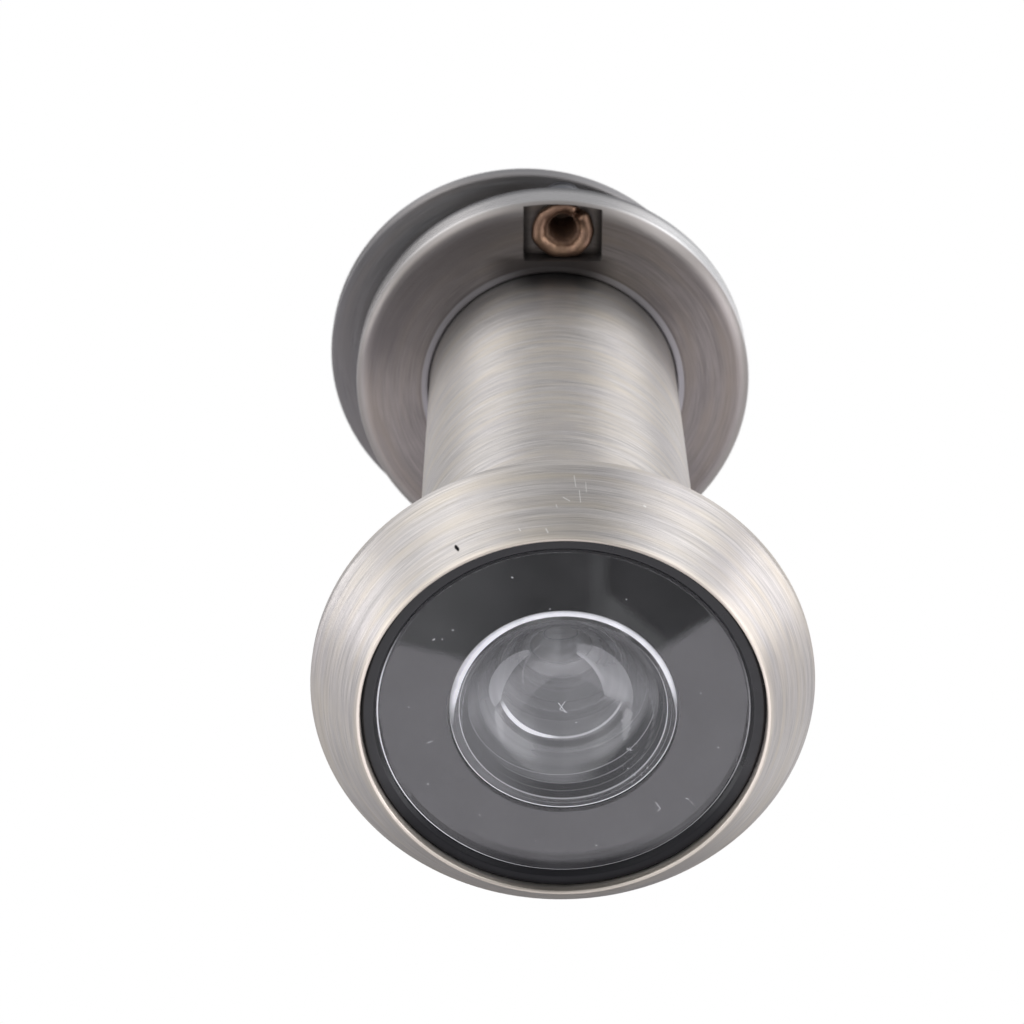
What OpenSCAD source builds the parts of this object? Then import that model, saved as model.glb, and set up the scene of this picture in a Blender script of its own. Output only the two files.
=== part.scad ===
// Door viewer with an adjustable barrel and a swing privacy cover.
// Millimetres. The viewer's axis is Y: the outside lens faces -Y (front), the room is at +Y (back),
// and Z is up. The origin is on the axis, at the outer flange's face that rests on the door.

/* [Outer barrel] */
// Diameter of the outer flange at its widest rim
flange_d = 26; // [25:0.5:28]
// Thickness of the straight rim behind the bevel
rim_t = 0.5; // [0.3:0.1:0.8]
// Height of the bevelled front face, along the axis
bevel_h = 3.17; // [3.0:0.01:3.6]
// Diameter of the opening inside the bevel
bezel_bore_d = 20.6; // [20.4:0.1:21.2]
// Diameter of the barrel that passes through the door
barrel_d = 15.8; // [15.8:0.1:16.2]
// Distance between the two door faces when fully screwed together
door_gap = 37.2; // [36.8:0.1:44]

/* [Lenses] */
// Diameter of the flat front window
window_d = 19.1; // [18.6:0.1:19.1]
// Thickness of the front window
window_t = 0.6; // [0.5:0.1:1.1]
// Outside diameter of the bowl-shaped objective lens
objective_d = 11.68; // [11.2:0.02:11.7]
// Radius of the objective's concave bowl
bowl_r = 5.6; // [5.6:0.1:7]
// Width of the flat ground rim around the bowl
bowl_rim = 0.51; // [0.4:0.01:0.8]

/* [Screw sleeve] */
// Screw adjustment, which is the range of door thickness the viewer takes up
travel = 20; // [12:1:20]
// Pitch of the adjusting thread
pitch = 1.0; // [0.75:0.25:1.5]
// Diameter of the sleeve's slotted head
head_d = 16.4; // [15.6:0.1:16.4]
// Height of the slotted head behind the rose
head_h = 1.78; // [1.6:0.01:1.8]
// Width of the two coin slots in the head
slot_w = 2.2; // [1.4:0.1:2.6]

/* [Rose] */
// Diameter of the rose on the room side
rose_d = 25.2; // [25.2:0.1:27]
// Thickness of the rose
rose_t = 2.9; // [2.9:0.1:3.4]
// Radius of the rose's door-side edge
rose_round = 0.9; // [0.1:0.05:0.9]
// Width of the square pocket that holds the rivet's tail
pocket_w = 4.9; // [4:0.05:4.9]
// Wall left between the pocket and the rose's rim
pocket_wall = 0.2; // [0.15:0.05:0.3]

/* [Cover] */
// Diameter of the privacy cover
cover_d = 25.3; // [24:0.1:26]
// Thickness of the privacy cover
cover_t = 1.5; // [1:0.1:2]
// Swing of the cover about its rivet, where 0 is closed
cover_swing = 9.72; // [0:1:350]

/* [Pivot] */
// Sideways offset of the rivet from the top of the rose
rivet_x = 0.55; // [0:0.05:0.6]
// Height of the rivet above the viewer's axis
rivet_z = 10.5; // [10.45:0.01:10.55]
// Radius of the tubular rivet's shank
rivet_r = 1.25; // [1.2:0.01:1.3]
// Radius of the hole down the rivet
rivet_hole_r = 0.95; // [0.6:0.05:0.95]

/* [Hidden] */
$fn = 128;

glass = [0.80, 0.84, 0.88, 0.35];
spacer_black = [0.08, 0.08, 0.09];
gap = 0.01;                              // clearance between faces that meet
fit = 0.02;                              // looser clearance, for parts that slip in or turn

// Stations along the axis, front to back: window and lens stack
y_rim = -rim_t;                          // back of the bevel
y_lip = y_rim - bevel_h;                 // front lip of the bezel
y_ring = y_lip + 0.5;                    // front of the black ring
y_window = y_lip + 0.72;
y_window_back = y_window + window_t;
y_cell = y_window_back + 0.1;            // front of the lens cell, behind the mask
y_floor = -0.85;                         // floor of the bezel's counterbore
y_objective = y_window_back + fit;
y_objective_back = y_objective + 5.2;
y_lens2 = y_objective_back + 1.2;        // back of the front spacer
y_lens2_back = y_lens2 + 1.9;
y_lens3 = y_lens2_back + 1.4;            // back of the rear spacer
y_lens3_back = y_lens3 + 2.0;
y_cell_back = y_lens3_back + 0.8;

// Stations along the axis: rose, sleeve and cover
y_rose = door_gap;                       // rose's door face
y_barrel_end = y_rose + 0.65;            // inside the rose's counterbore
y_eyepiece = y_rose + 1.2;               // seat of the eyepiece in the sleeve
y_pocket = y_rose + 1.35;                // floor of the rivet's pocket
y_web = y_rose + 1.4;                    // front of the rose's web
y_rose_back = y_rose + rose_t;
y_head = y_rose_back + fit;              // front of the slotted head
y_head_back = y_head + head_h;
y_cover = y_rose + 5.1;
y_cover_back = y_cover + cover_t;
y_sleeve = y_head - travel - 8;          // front end of the screw sleeve
y_stop = y_sleeve + 0.6;                 // seat of the field stop

// Radii about the axis
flange_r = flange_d / 2;
bezel_r = bezel_bore_d / 2;
liner_r = bezel_r - fit;                 // black parts inside the bezel
window_r = window_d / 2;
objective_r = objective_d / 2;
barrel_r = barrel_d / 2;
thread_r = barrel_r - 0.9;               // bore of the barrel that takes the sleeve
chamber_r = thread_r + 0.1;              // wider bore around the lens cell
cell_r = chamber_r - 0.05;
cell_bore_r = objective_r + 0.06;
spacer_r = cell_bore_r - 0.04;
inner_lens_r = cell_bore_r - 0.05;       // second and third lenses
crest_r = thread_r - 0.05;               // sleeve's thread
root_r = crest_r - 0.52;
lens_pocket_r = root_r - 0.33;           // recess at each end of the sleeve
sleeve_bore_r = lens_pocket_r - 0.5;
rose_bore_r = barrel_r + 0.07;           // counterbore that takes the barrel's end

// Pivot and cover
collar_r = 1.65;                         // outside of the pivot's collar and washer
cover_arm = 10.764;                      // cover's centre to its rivet hole
cover_hang = 3.0;                        // lean of the arm when the cover is closed

// points on an arc about [x, y], from angle start to angle end
function arc(x, y, r, start, end, steps = 10) = [
    for (i = [0:steps])
        let (angle = start + (end - start) * i / steps)
        [x + r * cos(angle), y + r * sin(angle)]
];

// turns a profile of [radius, y] points about the viewer's axis
module lathe(profile) {
    rotate([-90, 0, 0]) rotate_extrude() polygon(profile);
}

// cylinder along Y from y0 to y1
module rod(r, y0, y1) {
    translate([0, y0, 0]) rotate([-90, 0, 0]) cylinder(r = r, h = y1 - y0);
}

// plain tube along Y
module tube(outer_r, bore_r, y0, y1) {
    difference() {
        rod(outer_r, y0, y1);
        rod(bore_r, y0 - 1, y1 + 1);
    }
}

// ball centred on the axis
module ball(r, y) {
    translate([0, y, 0]) rotate([-90, 0, 0]) sphere(r = r);
}

// moves children to the rivet
module at_rivet() {
    translate([rivet_x, 0, rivet_z]) children();
}

// flange with a bevelled bezel, and the tube that goes through the door
module outer_barrel() {
    relief_r = barrel_r - 0.3;           // reduced end of the tube
    color([0.70, 0.68, 0.65]) lathe([
        // bezel lip
        [bezel_r, y_floor], [bezel_r, y_lip + 0.12],
        [bezel_r + 0.1, y_lip], [bezel_r + 0.22, y_lip + 0.03],
        // rim
        [flange_r - 0.1, y_rim - 0.1], [flange_r, y_rim + 0.03],
        [flange_r, -0.06], [flange_r - 0.06, 0],
        // outside of the tube
        [barrel_r, 0], [barrel_r, y_rose + 0.1], [relief_r, y_rose + 0.3],
        [relief_r, y_barrel_end - 0.15], [relief_r - 0.15, y_barrel_end],
        // bore
        [thread_r + 0.25, y_barrel_end], [thread_r, y_barrel_end - 0.25],
        [thread_r, y_cell_back + 0.6], [chamber_r, y_cell_back + 0.5], [chamber_r, y_floor]
    ]);
}

// black plastic cup that carries the lens stack inside the barrel
module lens_cell() {
    lip_r = 4.8;                         // opening behind the third lens
    chamfer = 0.3;
    color([0.06, 0.06, 0.07]) lathe([
        [cell_bore_r, y_cell], [liner_r, y_cell], [liner_r, y_floor], [cell_r, y_floor],
        [cell_r, y_cell_back - chamfer], [cell_r - chamfer, y_cell_back],
        [lip_r, y_cell_back], [lip_r, y_lens3_back], [cell_bore_r, y_lens3_back]
    ]);
}

// black ring around the window, with a lip over the window's chamfer
module window_ring() {
    y_back = y_cell - gap;
    bore_r = window_r + 0.03;
    lip_r = window_r - 0.02;
    chamfer = 0.14;
    color([0.05, 0.05, 0.06]) lathe([
        [bore_r, y_back], [bore_r, y_window + 0.21],
        [lip_r, y_window + 0.13], [lip_r, y_ring + 0.15], [lip_r + chamfer, y_ring],
        [liner_r - chamfer, y_ring], [liner_r, y_ring + chamfer], [liner_r, y_back]
    ]);
}

// clear flat disc in front of the lenses
module front_window() {
    front_chamfer = 0.2;
    back_chamfer = 0.12;
    color(glass) lathe([
        [0, y_window], [window_r - front_chamfer, y_window], [window_r, y_window + front_chamfer],
        [window_r, y_window_back - back_chamfer], [window_r - back_chamfer, y_window_back],
        [0, y_window_back]
    ]);
}

// thin black mask behind the window, around the objective
module window_mask() {
    color([0.10, 0.10, 0.11])
        tube(window_r - 0.1, cell_bore_r, y_window_back + gap / 2, y_cell - gap / 2);
}

// bowl-shaped negative lens with a flat ground rim
module objective_lens() {
    mouth_r = objective_r - bowl_rim;
    bowl_offset = sqrt(bowl_r * bowl_r - mouth_r * mouth_r);
    front_chamfer = 0.08;
    back_chamfer = 0.35;
    color(glass) difference() {
        lathe([
            [0, y_objective], [objective_r - front_chamfer, y_objective],
            [objective_r, y_objective + front_chamfer],
            [objective_r, y_objective_back - back_chamfer],
            [objective_r - back_chamfer, y_objective_back], [0, y_objective_back]
        ]);
        ball(bowl_r, y_objective - bowl_offset);
    }
}

// black spacer between the objective and the second lens
module front_spacer() {
    color(spacer_black) tube(spacer_r, 5.0, y_objective_back + gap, y_lens2);
}

// second lens: domed front that reaches into the front spacer, hollow back
module second_lens() {
    dome_r = 16;
    hollow_r = 7.5;
    hollow_depth = 1.1;
    nose_r = 4.9;                        // part inside the front spacer
    color(glass) difference() {
        intersection() {
            rod(inner_lens_r, y_lens2 - 0.75, y_lens2_back);
            union() {
                ball(dome_r, y_lens2 - 0.6 + dome_r);
                rod(cell_bore_r, y_lens2 + 0.8, y_lens2_back);
            }
            difference() {
                rod(7, y_lens2 - 2, y_lens2_back + 1);
                tube(7.5, nose_r, y_lens2 - 3, y_lens2 + gap);
            }
        }
        ball(hollow_r, y_lens2_back + hollow_r - hollow_depth);
    }
}

// black spacer between the second and third lenses
module rear_spacer() {
    color(spacer_black) tube(spacer_r, 4.9, y_lens2_back + gap, y_lens3);
}

// third lens: positive, flat towards the room
module third_lens() {
    dome_r = 14;
    color(glass) intersection() {
        rod(inner_lens_r, y_lens3 + gap, y_lens3_back - gap);
        union() {
            ball(dome_r, y_lens3 + 0.02 + dome_r);
            rod(cell_bore_r, y_lens3 + 1.1, y_lens3_back);
        }
    }
}

// rose on the room side: door-side pocket for the rivet's tail, web under the sleeve's head
module inner_rose() {
    rose_r = rose_d / 2;
    bore_round = 0.15;                   // rounding of the bore on the door side
    chamfer = 0.15;
    pocket_drop = 1.75;                  // rivet's centre to the pocket's lower edge
    color([0.60, 0.57, 0.54]) difference() {
        lathe(concat(
            arc(rose_bore_r + bore_round, y_rose + bore_round, bore_round, 180, 270),
            arc(rose_r - rose_round, y_rose + rose_round, rose_round, -90, 0),
            [[rose_r, y_rose_back - chamfer], [rose_r - chamfer, y_rose_back]],
            [[thread_r, y_rose_back], [thread_r, y_web], [rose_bore_r, y_web]]
        ));
        intersection() {
            translate([rivet_x - pocket_w / 2, y_rose - 1, rivet_z - pocket_drop])
                cube([pocket_w, y_pocket - y_rose + 1, 6]);
            rod(rose_r - pocket_wall, y_rose - 2, y_rose + 2);
        }
        at_rivet() rod(rivet_r, y_rose, y_rose_back + 1);
    }
}

// tubular rivet: rolled tail in the pocket, shank through rose and cover, head behind the cover
module pivot_rivet() {
    roll_r = 0.41;                       // rolled edge of the tail
    head_r = 1.6;
    head_round = 0.3;
    y_rivet_head = y_cover_back + 0.05;
    y_rivet_end = y_cover_back + 0.45;
    color([0.55, 0.38, 0.27]) at_rivet() lathe(concat(
        [[rivet_hole_r, y_pocket + 0.2], [rivet_hole_r, y_pocket - 0.75]],
        arc(rivet_hole_r + roll_r, y_pocket - 0.72, roll_r, 180, 360),
        [[rivet_hole_r + 2 * roll_r, y_pocket - 0.3]],
        [[rivet_r + 0.3, y_pocket - gap], [rivet_r, y_pocket - gap]],
        [[rivet_r, y_rivet_head], [head_r, y_rivet_head]],
        arc(head_r - head_round, y_rivet_end - head_round, head_round, 0, 90),
        // head's crown on the axis, then the pointed end of the hole
        [[0, y_rivet_end], [0, y_cover + 0.4], [rivet_hole_r, y_cover - 0.1]]
    ));
}

// collar that holds the cover clear of the sleeve's head
module pivot_spacer() {
    color([0.62, 0.60, 0.57]) at_rivet()
        tube(collar_r, rivet_r + 0.04, y_rose_back + gap / 2, y_cover - 0.4);
}

// spring washer that gives the cover its drag
module wave_washer() {
    color([0.72, 0.72, 0.73]) at_rivet()
        tube(collar_r, rivet_r + 0.08, y_cover - 0.38, y_cover - 0.04);
}

// threaded sleeve with a slotted head, which screws into the barrel
module inner_sleeve() {
    head_r = head_d / 2;
    neck_r = thread_r - 0.07;            // passes through the rose's web
    chamfer = 0.3;
    slot_depth = 0.95;
    y_thread = y_sleeve + 0.55;
    turns = floor((y_rose - 1.2 - y_sleeve - 1) / pitch);
    // one ridge of the thread: radius, place along the pitch as a fraction
    ridge = [[root_r, 0], [crest_r, 0.36], [crest_r, 0.52], [root_r, 0.88]];
    color([0.64, 0.62, 0.59]) difference() {
        lathe(concat(
            [[sleeve_bore_r, y_stop + 0.02], [lens_pocket_r, y_stop], [lens_pocket_r, y_sleeve]],
            [[crest_r - 0.5, y_sleeve], [root_r, y_sleeve + 0.3]],
            [for (i = [0:turns - 1], corner = ridge)
                [corner[0], y_thread + (i + corner[1]) * pitch]],
            [[root_r, y_rose + 1.28], [neck_r, y_rose + 1.3], [neck_r, y_head]],
            [[head_r, y_head], [head_r, y_head_back - chamfer], [head_r - chamfer, y_head_back]],
            [[lens_pocket_r, y_head_back], [lens_pocket_r, y_eyepiece]],
            [[sleeve_bore_r, y_eyepiece]]
        ));
        translate([-20, y_head_back - slot_depth, -slot_w / 2]) cube([40, 3, slot_w]);
    }
}

// clip that keeps the rose on the sleeve, open at the bottom, with a hole at each end
module rose_circlip() {
    opening = 3.2;
    hole_x = 2.5;
    hole_r = 0.35;
    color([0.30, 0.30, 0.32]) difference() {
        tube(root_r + 1.15, root_r + gap, y_rose + 0.78, y_rose + 1.22);
        translate([-opening / 2, y_rose, -10]) cube([opening, 3, 6]);
        for (side = [-1, 1])
            translate([side * hole_x, 0, -root_r - 0.15]) rod(hole_r, y_rose, y_rose + 2);
    }
}

// black stop at the sleeve's front end
module field_stop() {
    color([0.05, 0.05, 0.05]) tube(lens_pocket_r - fit, 3.8, y_sleeve + 0.1, y_stop - gap);
}

// eyepiece: flat towards the door, domed towards the eye
module eyepiece_lens() {
    dome_r = 18.9;
    color(glass) intersection() {
        rod(lens_pocket_r - 0.05, y_eyepiece + gap, y_rose + 4);
        ball(dome_r, y_rose + 3.55 - dome_r);
    }
}

// ring that holds the eyepiece in the sleeve's head
module eyepiece_ring() {
    bore_r = 4.95;
    y_front = y_rose + 2.93;
    y_back = y_head_back - 0.35;
    color([0.10, 0.10, 0.11]) lathe([
        [bore_r, y_front], [lens_pocket_r - fit, y_front], [lens_pocket_r - fit, y_back],
        [lens_pocket_r - 0.3, y_back], [bore_r, y_rose + 3.2]
    ]);
}

// disc that swings over the eyepiece
module cover_disc() {
    cover_r = cover_d / 2;
    chamfer = 0.2;
    edge_round = 0.5;
    color([0.45, 0.44, 0.43]) at_rivet() rotate([0, cover_hang + cover_swing, 0]) difference() {
        translate([0, 0, -cover_arm]) lathe(concat(
            [[0, y_cover], [cover_r - chamfer, y_cover], [cover_r, y_cover + chamfer]],
            arc(cover_r - edge_round, y_cover_back - edge_round, edge_round, 0, 90),
            [[0, y_cover_back]]
        ));
        rod(rivet_r + 0.05, y_cover - 1, y_cover_back + 1);
    }
}

outer_barrel();
lens_cell();
window_ring();
front_window();
window_mask();
objective_lens();
front_spacer();
second_lens();
rear_spacer();
third_lens();
inner_rose();
pivot_spacer();
wave_washer();
pivot_rivet();
inner_sleeve();
rose_circlip();
field_stop();
eyepiece_lens();
eyepiece_ring();
cover_disc();
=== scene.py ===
"""A door viewer: a threaded barrel with its lenses, and an inner rose with a swinging cover.

Both halves turn about the Y axis. The glass front faces -Y, the sleeve and the cover are at the
+Y end, +Z is up and +X is right as seen from the front. The cover hangs from a rivet near the
top of the rose. Lengths are in mm until a mesh is made, which is in metres.
"""
import math
from functools import cached_property, reduce

import bmesh
import bpy
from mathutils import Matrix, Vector


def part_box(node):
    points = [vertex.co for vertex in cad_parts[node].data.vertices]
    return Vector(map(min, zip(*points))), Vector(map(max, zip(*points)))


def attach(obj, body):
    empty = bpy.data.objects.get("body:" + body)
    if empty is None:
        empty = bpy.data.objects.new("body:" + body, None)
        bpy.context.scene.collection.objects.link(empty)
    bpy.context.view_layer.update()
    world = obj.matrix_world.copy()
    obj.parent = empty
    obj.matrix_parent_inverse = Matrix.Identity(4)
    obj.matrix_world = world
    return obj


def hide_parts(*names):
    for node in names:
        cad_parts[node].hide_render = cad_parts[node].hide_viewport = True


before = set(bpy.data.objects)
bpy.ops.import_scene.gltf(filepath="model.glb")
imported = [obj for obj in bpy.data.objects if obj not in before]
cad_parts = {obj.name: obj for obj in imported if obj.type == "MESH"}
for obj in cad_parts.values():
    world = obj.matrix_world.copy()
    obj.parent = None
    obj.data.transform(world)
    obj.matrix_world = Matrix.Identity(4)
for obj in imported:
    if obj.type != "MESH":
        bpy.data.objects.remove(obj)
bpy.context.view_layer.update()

MM = 0.001
SEG = 288  # steps round a turned piece
scene = bpy.context.scene


def span(node):
    """Front (lowest) and back (highest) y of a CAD node, in mm."""
    low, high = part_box(node)
    return low.y / MM, high.y / MM


# Driving dimensions, mm. Places across the axis are (x, z).
ROSE_FRONT, ROSE_BACK = span("inner_rose")
cover_low, cover_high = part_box("cover_disc")
COVER_AT = ((cover_low.x + cover_high.x) / 2 / MM, (cover_low.z + cover_high.z) / 2 / MM)
COVER_R = (cover_high.x - cover_low.x) / 2 / MM
ROSE_R = 12.6
RIVET_AT = (0.55, 10.5)
POCKET_HALF = 2.45     # half width of the pocket round the rivet's rolled end
CELL_FRONT = -0.85     # where the barrel's recess ends
CELL_R = 10.28         # outside of the lens cell and the window ring
CELL_BORE = 5.9
LENS_R = 5.85          # second and third lens
OBJECTIVE_RIM = 5.33   # mouth of the objective's bowl
EYEPIECE_R = 6.08      # field stop and eyepiece ring
EYE_LENS_R = 6.05


# ---------------------------------------------------------------- mesh helpers
def arc(cx, cy, radius, start, end, n=8):
    """Points along an arc between two angles in degrees."""
    angles = [math.radians(start + (end - start) * i / n) for i in range(n + 1)]
    return [(cx + radius * math.cos(a), cy + radius * math.sin(a)) for a in angles]


def rounded(points, n=5):
    """Closed profile from (radius, y) or (radius, y, corner radius), with its corners rounded."""
    out = []
    count = len(points)
    for i, point in enumerate(points):
        corner = point[2] if len(point) > 2 else 0.0
        here = Vector((point[0], point[1]))
        if corner <= 0:
            out.append((here.x, here.y))
            continue
        before = Vector(points[i - 1][:2]) - here
        after = Vector(points[(i + 1) % count][:2]) - here
        before_length, after_length = before.length, after.length
        before.normalize()
        after.normalize()
        half = math.acos(max(-1, min(1, before.dot(after)))) / 2
        if half < 0.02 or half > math.pi / 2 - 0.01:
            out.append((here.x, here.y))
            continue
        # the rounding takes less than half of either side
        setback = min(corner / math.tan(half), before_length * 0.48, after_length * 0.48)
        radius = setback * math.tan(half)
        centre = here + (before + after).normalized() * (radius / math.sin(half))
        first = here + before * setback - centre
        last = here + after * setback - centre
        start = math.atan2(first.y, first.x)
        turn = (math.atan2(last.y, last.x) - start + math.pi) % (2 * math.pi) - math.pi
        for k in range(n + 1):
            a = start + turn * k / n
            out.append((centre.x + radius * math.cos(a), centre.y + radius * math.sin(a)))
    return out


def supported(profile, gap=0.03):
    """Adds a point near both ends of long straight runs, so that flat faces keep flat shading."""
    out = []
    for i, p in enumerate(profile):
        q = profile[(i + 1) % len(profile)]
        out.append(p)
        length = math.hypot(q[0] - p[0], q[1] - p[1])
        if length > 5 * gap and not (p[0] < 1e-6 and q[0] < 1e-6):
            for t in (gap / length, 1 - gap / length):
                out.append((p[0] + (q[0] - p[0]) * t, p[1] + (q[1] - p[1]) * t))
    return out


def link_mesh(name, bm):
    """Turns a bmesh into an object of the scene."""
    mesh = bpy.data.meshes.new(name)
    bm.to_mesh(mesh)
    bm.free()
    obj = bpy.data.objects.new(name, mesh)
    scene.collection.objects.link(obj)
    return obj


def shade(mesh, sharp):
    mesh.shade_smooth()
    mesh.set_sharp_from_angle(angle=math.radians(sharp))


def lathe(name, profile, mat, seg=SEG, centre=(0.0, 0.0), wobble=None, sharp=35):
    """Turns a closed (radius, y) profile about the line through centre, parallel to Y.

    wobble(angle, i) gives what is added to the radius and y of profile point i at that angle.
    """
    if wobble is None:
        profile = supported(profile)
    bm = bmesh.new()
    rings = []
    for i, (radius, y) in enumerate(profile):
        if radius < 1e-6:
            rings.append([bm.verts.new((centre[0] * MM, y * MM, centre[1] * MM))])
            continue
        ring = []
        for k in range(seg):
            angle = 2 * math.pi * k / seg
            out, along = wobble(angle, i) if wobble else (0.0, 0.0)
            ring.append(bm.verts.new(((centre[0] + (radius + out) * math.sin(angle)) * MM,
                                      (y + along) * MM,
                                      (centre[1] + (radius + out) * math.cos(angle)) * MM)))
        rings.append(ring)
    for i, a in enumerate(rings):
        b = rings[(i + 1) % len(rings)]
        if len(a) == 1 and len(b) == 1:
            continue
        for k in range(seg):
            k2 = (k + 1) % seg
            if len(a) == 1:
                bm.faces.new((a[0], b[k], b[k2]))
            elif len(b) == 1:
                bm.faces.new((a[k], b[0], a[k2]))
            else:
                bm.faces.new((a[k], b[k], b[k2], a[k2]))
    bmesh.ops.remove_doubles(bm, verts=bm.verts, dist=1e-8)
    bmesh.ops.recalc_face_normals(bm, faces=bm.faces)
    obj = link_mesh(name, bm)
    shade(obj.data, sharp)
    obj.data.materials.append(mat)
    return obj


def cutter_prism(outline, front, back):
    """Prism along Y over an (x, z) outline."""
    bm = bmesh.new()
    a = [bm.verts.new((x * MM, front * MM, z * MM)) for x, z in outline]
    b = [bm.verts.new((x * MM, back * MM, z * MM)) for x, z in outline]
    bm.faces.new(a)
    bm.faces.new(b)
    for k in range(len(a)):
        k2 = (k + 1) % len(a)
        bm.faces.new((a[k], a[k2], b[k2], b[k]))
    bmesh.ops.recalc_face_normals(bm, faces=bm.faces)
    return link_mesh("cut", bm)


def cutter_box(half_x, half_z, front, back, corner):
    """Box centred on the axis, its edges along Y rounded."""
    x, z = half_x - corner, half_z - corner
    outline = []
    for cx, cz, start in ((x, z, 0), (-x, z, 90), (-x, -z, 180), (x, -z, 270)):
        outline += arc(cx, cz, corner, start, start + 90, 6)
    return cutter_prism(outline, front, back)


def cutter_pocket(left, right, bottom, rim, front, back, corner):
    """Pocket with straight sides and an upper edge that follows the rim."""
    outline = arc(left + corner, bottom + corner, corner, 180, 270, 5)
    outline += arc(right - corner, bottom + corner, corner, 270, 360, 5)
    first, last = math.asin(right / rim), math.asin(left / rim)
    for k in range(25):
        a = first + (last - first) * k / 24
        outline.append((rim * math.sin(a), rim * math.cos(a)))
    return cutter_prism(outline, front, back)


def cutter_rod(radius, front, back):
    """Round rod on the rivet's axis."""
    mat = bpy.data.materials.new("tmp")
    profile = [(0, front), (radius, front), (radius, back), (0, back)]
    return lathe("cut", profile, mat, 96, RIVET_AT)


def carve(obj, cutters, sharp=35):
    """Takes the cutters out of obj, applies the result and removes the cutters."""
    for cutter in cutters:
        modifier = obj.modifiers.new("carve", "BOOLEAN")
        modifier.operation = "DIFFERENCE"
        modifier.solver = "EXACT"
        modifier.object = cutter
    depsgraph = bpy.context.evaluated_depsgraph_get()
    mesh = bpy.data.meshes.new_from_object(obj.evaluated_get(depsgraph))
    mat = obj.data.materials[0]
    obj.modifiers.clear()
    obj.data = mesh
    mesh.materials.clear()
    mesh.materials.append(mat)
    for face in mesh.polygons:
        face.material_index = 0
    shade(mesh, sharp)
    for cutter in cutters:
        bpy.data.objects.remove(cutter, do_unlink=True)


def place(obj, body, node):
    """Hangs the piece on its moving body in place of its CAD node."""
    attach(obj, body)
    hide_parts(node)
    return obj


# ---------------------------------------------------------------- node helpers
class Value:
    """An output socket. Arithmetic on it makes Math nodes, with the operands in written order."""

    def __init__(self, nodes, socket):
        self.nodes = nodes
        self.socket = socket

    def __add__(self, other):
        return self.nodes.math("ADD", self, other)

    def __radd__(self, other):
        return self.nodes.math("ADD", other, self)

    def __sub__(self, other):
        return self.nodes.math("SUBTRACT", self, other)

    def __rsub__(self, other):
        return self.nodes.math("SUBTRACT", other, self)

    def __mul__(self, other):
        return self.nodes.math("MULTIPLY", self, other)

    def __truediv__(self, other):
        return self.nodes.math("DIVIDE", self, other)

    def __abs__(self):
        return self.nodes.math("ABSOLUTE", self)

    def max(self, other):
        return self.nodes.math("MAXIMUM", self, other)

    def above(self, limit):
        return self.nodes.math("GREATER_THAN", self, limit)

    def below(self, limit):
        return self.nodes.math("LESS_THAN", self, limit)

    def map_range(self, start, end, to, **props):
        return self.nodes.add("MapRange", dict(enumerate((self, start, end, *to))), **props)

    def ramp(self, start, end, to=(0.0, 1.0)):
        """Straight change from to[0] at start to to[1] at end; start may be the larger."""
        return self.map_range(start, end, to, clamp=True)

    def smooth(self, start, end, to=(0.0, 1.0)):
        """Like ramp, with soft ends."""
        return self.map_range(start, end, to, interpolation_type="SMOOTHSTEP")

    def band(self, low, high, soft):
        """1 between low and high, with soft ends."""
        return self.smooth(low - soft, low + soft) * self.smooth(high + soft, high - soft)


class Nodes:
    """Writes a node tree; with an output kind it starts the tree afresh."""

    def __init__(self, tree, output_kind=None):
        self.tree = tree
        if output_kind:
            tree.nodes.clear()
            self.output = tree.nodes.new("ShaderNode" + output_kind)

    def put(self, socket, value):
        """Links a Value, or sets a number or colour; an RGB colour gets alpha 1."""
        if isinstance(value, Value):
            self.tree.links.new(value.socket, socket)
        elif isinstance(value, tuple) and len(value) == 3:
            socket.default_value = value + (1,)
        else:
            socket.default_value = value

    def add(self, kind, inputs=None, output=0, **props):
        """New node; inputs and output go by name or index."""
        node = self.tree.nodes.new("ShaderNode" + kind)
        for key, value in props.items():
            setattr(node, key, value)
        for key, value in (inputs or {}).items():
            self.put(node.inputs[key], value)
        return Value(self, node.outputs[output])

    def finish(self, shader):
        self.put(self.output.inputs[0], shader)

    def math(self, operation, *args, clamp=False):
        return self.add("Math", dict(enumerate(args)), operation=operation, use_clamp=clamp)

    def noise(self, vector, scale, detail, rough):
        return self.add("TexNoise", {"Vector": vector, "Scale": scale, "Detail": detail,
                                     "Roughness": rough}, output="Fac")

    def mix(self, factor, a, b):
        return self.add("Mix", {0: factor, 6: a, 7: b}, output=2, data_type="RGBA")

    def mix_shader(self, factor, a, b):
        return self.add("MixShader", {0: factor, 1: a, 2: b})

    def combine(self, x, y, z):
        return self.add("CombineXYZ", {0: x, 1: y, 2: z})

    def separate(self, vector):
        first = self.add("SeparateXYZ", {0: vector})
        return [Value(self, socket) for socket in first.socket.node.outputs]

    def bump(self, height, strength, distance):
        return self.add("Bump", {"Height": height, "Strength": strength, "Distance": distance})


class Coords:
    """Object coordinates in mm about a line parallel to Y; each is made when first asked for."""

    def __init__(self, nodes, centre=(0.0, 0.0)):
        self.nodes = nodes
        self.centre = centre
        self.parts = nodes.separate(nodes.add("TexCoord", output="Object"))

    @cached_property
    def x(self):
        return self.parts[0] * 1000.0 - self.centre[0]

    @cached_property
    def y(self):
        return self.parts[1] * 1000.0

    @cached_property
    def z(self):
        return self.parts[2] * 1000.0 - self.centre[1]

    @cached_property
    def radius(self):
        return hypot(self.x, self.z)

    @cached_property
    def angle(self):
        """Degrees round the axis from the top, positive towards +X."""
        return self.nodes.math("ARCTAN2", self.x, self.z) * (180 / math.pi)


def hypot(a, b):
    return a.nodes.math("SQRT", a * a + b * b)


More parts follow.
